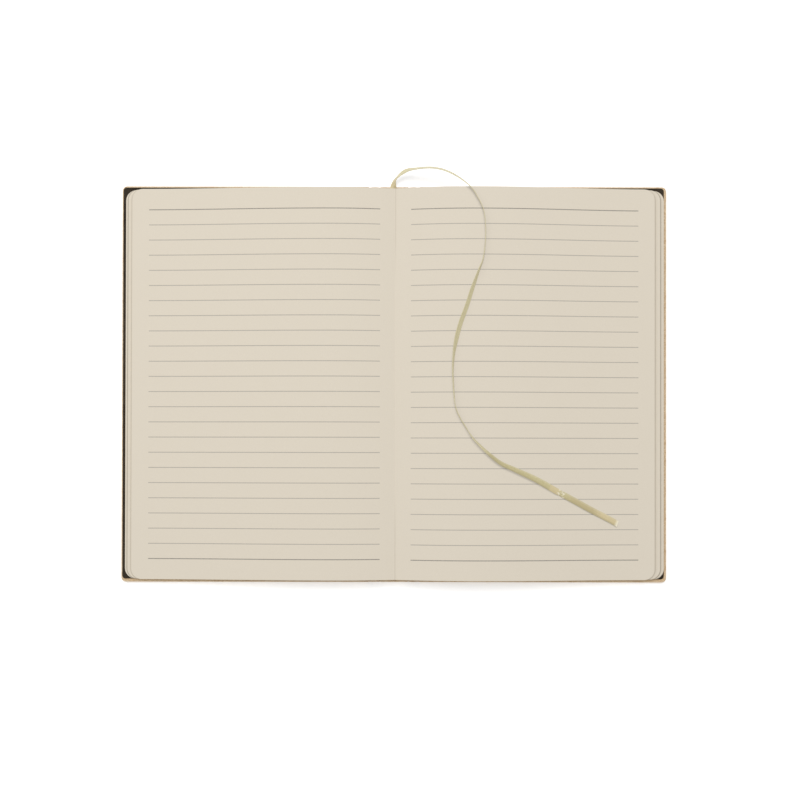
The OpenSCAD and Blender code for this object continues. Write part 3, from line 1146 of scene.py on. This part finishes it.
groove_columns = [between(seam_x, board_x - wall_w, i / 10) for i in range(10)]
wall_columns = [between(board_x - wall_w, board_x, i / 5) for i in range(6)]
board_columns = [between(board_x, cover_x - cover_r, i / 12) for i in range(1, 13)]
side_columns = groove_columns + wall_columns + board_columns
spine_half = [between(spine_x, seam_x, i / 6) for i in range(7)]
spine_columns = [-x for x in reversed(spine_half)] + [-spine_x / 2, 0.0, spine_x / 2] + spine_half
front_skin = cover_skin("front_cover_skin", -1, side_columns, True)
back_skin = cover_skin("back_cover_skin", 1, side_columns, True)
spine_skin = cover_skin("spine_skin", 1, spine_columns, False)

# %% [markdown]
# ## Tan covering and dark paper
# The covering looks like fine-grained leather: small pebbles parted by darker creases, a slow drift
# of tone, and a paler, smoother line where hands have rubbed the edges. Pebbles come from cells of
# random shape, bent a little by noise so that they aren't too neat. The endpaper is nearly black,
# warm, with short pale fibres, and its outer edge is scuffed. Both bend at the hinge, so they read
# the places kept at rest, or else the pattern would crawl when the cover swings.

# %% Covering and endpaper finishes
tan = light(219, 193, 156)
tan_pale = light(236, 219, 192)
tan_deep = light(184, 152, 112)
night = light(58, 50, 39)
night_pale = light(94, 86, 72)
night_deep = light(41, 34, 26)
grain_mm = 0.9


def rest_place(tree):
    """Where the surface lies at rest."""
    return add(tree, "Attribute", {"attribute_name": "rest_place"}).outputs["Vector"]


def near_edge(tree, place, reach_mm):
    """A share that rises to 1 at the cover's outer edge, over the given reach."""
    axes = add(tree, "SeparateXYZ", Vector=place).outputs
    from_side = reckon(tree, "SUBTRACT", cover_x, reckon(tree, "ABSOLUTE", axes["X"]))
    from_end = reckon(tree, "SUBTRACT", cover_y, reckon(tree, "ABSOLUTE", axes["Y"]))
    nearest = reckon(tree, "MINIMUM", from_side, from_end)
    return spread(tree, nearest, reach_mm * MM, 0.0)


def leather():
    """The covering's finish."""
    material, tree, shader = start_finish("cover_leather", 0.55, 0.35)
    place = rest_place(tree)
    bent = add(tree, "TexNoise", Vector=place, Scale=1 / (1.6 * MM), Detail=2.0).outputs["Color"]
    push = add(tree, "VectorMath", {"operation": "SCALE"}, Vector=bent, Scale=0.5 * MM).outputs["Vector"]
    moved = add(tree, "VectorMath", {"operation": "ADD"})
    plug(tree, moved.inputs[0], place)
    plug(tree, moved.inputs[1], push)
    cells = add(tree, "TexVoronoi", {"feature": "DISTANCE_TO_EDGE"}, Vector=moved.outputs["Vector"],
                Scale=1 / (grain_mm * MM)).outputs["Distance"]
    pebble = spread(tree, cells, 0.0, 0.22)
    fine = noise(tree, place, 0.18)
    drift = noise(tree, place, 26)
    grained = blended(tree, pebble, tan_deep, tan)
    deeper = blended(tree, 0.35, grained, tan_deep)
    drifted = blended(tree, spread(tree, drift, 0.35, 0.75), grained, deeper)
    patches = spread(tree, noise(tree, place, 3), 0.3, 0.6)
    worn = reckon(tree, "MULTIPLY", near_edge(tree, place, 1.6), patches)
    plug(tree, shader.inputs["Base Color"], laid_over(tree, drifted, tan_pale, worn, 0.6))
    plug(tree, shader.inputs["Roughness"], reckon(tree, "MULTIPLY_ADD", pebble, -0.12, 0.62))
    height = reckon(tree, "MULTIPLY_ADD", pebble, 0.75, reckon(tree, "MULTIPLY", fine, 0.25))
    raise_surface(tree, shader, height, 0.06)
    return material


def dark_paper():
    """The endpapers' finish."""
    material, tree, shader = start_finish("endpaper", 0.88, 0.2)
    place = rest_place(tree)
    long_way = add(tree, "Mapping", Vector=place, Scale=(1.0, 0.35, 1.0)).outputs["Vector"]
    fibres = noise(tree, long_way, 0.3, detail=5)
    clouds = noise(tree, place, 7)
    base = blended(tree, spread(tree, clouds, 0.3, 0.7), night_deep, night)
    flecked = blended(tree, spread(tree, fibres, 0.62, 0.78), base, night_pale)
    scuffed = reckon(tree, "MULTIPLY", near_edge(tree, place, 1.8), spread(tree, clouds, 0.35, 0.7))
    plug(tree, shader.inputs["Base Color"], laid_over(tree, flecked, night_pale, scuffed, 0.25))
    raise_surface(tree, shader, fibres, 0.02, strength=0.7)
    return material


cover_leather = leather()
endpaper = dark_paper()
print("finishes ready:", cover_leather.name, endpaper.name)

# %% Dress the covering and the endpapers


def dress_bending(piece, material, node):
    """Gives a piece that crosses a hinge its finish, bakes its placing into its points and hides its node.
    """
    piece.data.materials.append(material)
    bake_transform(piece)
    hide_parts(node)


dress_bending(front_skin, cover_leather, "front_covering")
dress_bending(back_skin, cover_leather, "back_covering")
dress(spine_skin, "book_block", "cover_leather", [cover_leather], "spine_covering")
for piece in pasted_papers + free_papers:
    keep_places(piece)
dress_bending(pasted_papers[0], endpaper, "front_pastedown")
dress_bending(pasted_papers[1], endpaper, "back_pastedown")
dress(free_papers[0], "book_block", "endpaper", [endpaper], "front_flyleaf")
dress(free_papers[1], "book_block", "endpaper", [endpaper], "back_flyleaf")
print("covering and endpapers dressed")

# %% [markdown]
# ## What the covering hides
# Grey board stiffens the covers and the spine, and a strip of gauze under paper is glued on the
# back of the leaves. They hardly show, but the frame's own nodes are the right shape already, so
# they only get a finish: pressed board made of mixed waste, with specks, and an open weave.

# %% Board and gauze finishes
board_grey = light(148, 144, 134)
board_pale = light(176, 171, 160)
board_deep = light(104, 98, 88)
gauze_cream = light(232, 226, 210)
gauze_deep = light(186, 176, 152)
gauze_mm = 0.7


def grey_board():
    """Pressed board with specks."""
    material, tree, shader = start_finish("grey_board", 0.92, 0.15)
    place = add(tree, "TexCoord").outputs["Object"]
    pulp = noise(tree, place, 1.1, detail=6)
    specks = noise(tree, place, 0.4)
    body = blended(tree, spread(tree, pulp, 0.3, 0.7), board_deep, board_pale)
    mixed = blended(tree, 0.45, board_grey, body)
    speckled = blended(tree, spread(tree, specks, 0.66, 0.72), mixed, board_deep)
    plug(tree, shader.inputs["Base Color"], speckled)
    raise_surface(tree, shader, pulp, 0.05, strength=0.6)
    return material


def lining_gauze():
    """An open weave of threads both ways."""
    material, tree, shader = start_finish("lining_gauze", 0.9, 0.15)
    axes = add(tree, "SeparateXYZ", Vector=add(tree, "TexCoord").outputs["Object"]).outputs
    threads = reckon(tree, "MAXIMUM", ripple(tree, axes["X"], gauze_mm), ripple(tree, axes["Y"], gauze_mm))
    plug(tree, shader.inputs["Base Color"], blended(tree, threads, gauze_deep, gauze_cream))
    raise_surface(tree, shader, threads, 0.05)
    return material


hidden_finishes = {
    "front_board": grey_board(),
    "back_board": grey_board(),
    "spine_board": grey_board(),
    "spine_lining": lining_gauze(),
}
for name, material in hidden_finishes.items():
    node = frame["nodes"][name]
    node.data.materials.clear()
    node.data.materials.append(material)
print("finished", ", ".join(hidden_finishes))

# %% [markdown]
# ## Table and light
# The notebook was photographed on white, in light so soft that its shadow is only a breath of grey
# below and to the right. So most of the light comes evenly from all round. A lamp high beyond
# the head draws the thin shadow along the tail and under the ribbon's lower edge, and a broad one,
# lower on the left, lets the light fade a little towards the lower right corner. A small hard lamp
# would show the paper's texture better, but it would draw a black line in the gutter.

# %% Table and lamps
table_reach = 4.0
table_gap = 0.2 * MM
table_glow = 0.23
sky_strength = 0.59
# Each lamp's name, place in metres, size in metres and power in watts
lamps = [
    ("head_lamp", (0.0, 0.42, 1.35), 0.5, 6.9),
    ("side_lamp", (-0.45, 0.25, 0.8), 0.8, 1.4),
]

table_corners = [(-1, -1), (1, -1), (1, 1), (-1, 1)]
table_points = [(x * table_reach, y * table_reach, -table_gap) for x, y in table_corners]
table = new_piece("table", table_points, [(0, 1, 2, 3)])
table_white, _, table_shader = start_finish("table_white", 0.9, 0.1)
table_shader.inputs["Base Color"].default_value = (0.98, 0.98, 0.98, 1.0)
table_shader.inputs["Emission Color"].default_value = (1.0, 1.0, 1.0, 1.0)
table_shader.inputs["Emission Strength"].default_value = table_glow
table.data.materials.append(table_white)

world = bpy.data.worlds.new("soft_studio")
world.use_nodes = True
world.node_tree.nodes["Background"].inputs["Color"].default_value = (1.0, 1.0, 1.0, 1.0)
world.node_tree.nodes["Background"].inputs["Strength"].default_value = sky_strength
scene.world = world

for name, place, size, power in lamps:
    lamp_data = bpy.data.lights.new(name, "AREA")
    lamp_data.size = size
    lamp_data.energy = power
    lamp = bpy.data.objects.new(name, lamp_data)
    lamp.location = place
    lamp.rotation_euler = (-Vector(place)).to_track_quat("-Z", "Y").to_euler()
    scene.collection.objects.link(lamp)
    print(name, "shines with", power, "W beside a sky of", sky_strength)
